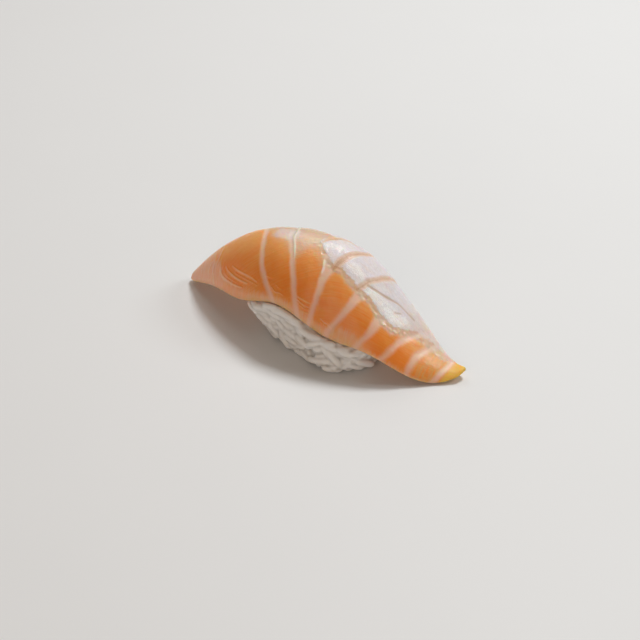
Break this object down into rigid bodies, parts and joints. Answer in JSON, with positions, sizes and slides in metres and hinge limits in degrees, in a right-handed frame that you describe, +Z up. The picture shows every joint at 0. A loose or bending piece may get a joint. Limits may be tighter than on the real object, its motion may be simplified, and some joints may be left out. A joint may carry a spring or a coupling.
{
  "type": "salmon belly nigiri",
  "caption": "Nigiri sushi: a leaf-shaped slice of fatty salmon belly draped over a pressed block of rice, one serving of prepared food that rests on the rice's flat foot",
  "frame": {"origin": "on the flat foot of the rice block, under the middle of the slice's length", "axes": "+X along the slice to its upturned yellowish tip, -Y the side where the slice's cut face hangs lowest, +Z up"},
  "size_m": [0.0903, 0.0318, 0.0294],
  "materials": {
    "salmon_flesh": "wet orange flesh with pale fat lines and a silvery membrane",
    "cooked_rice": "moist translucent white grains"
  },
  "bodies": {
    "root": {"salmon_slice": "salmon_flesh", "rice": "cooked_rice"}
  },
  "joints": []
}
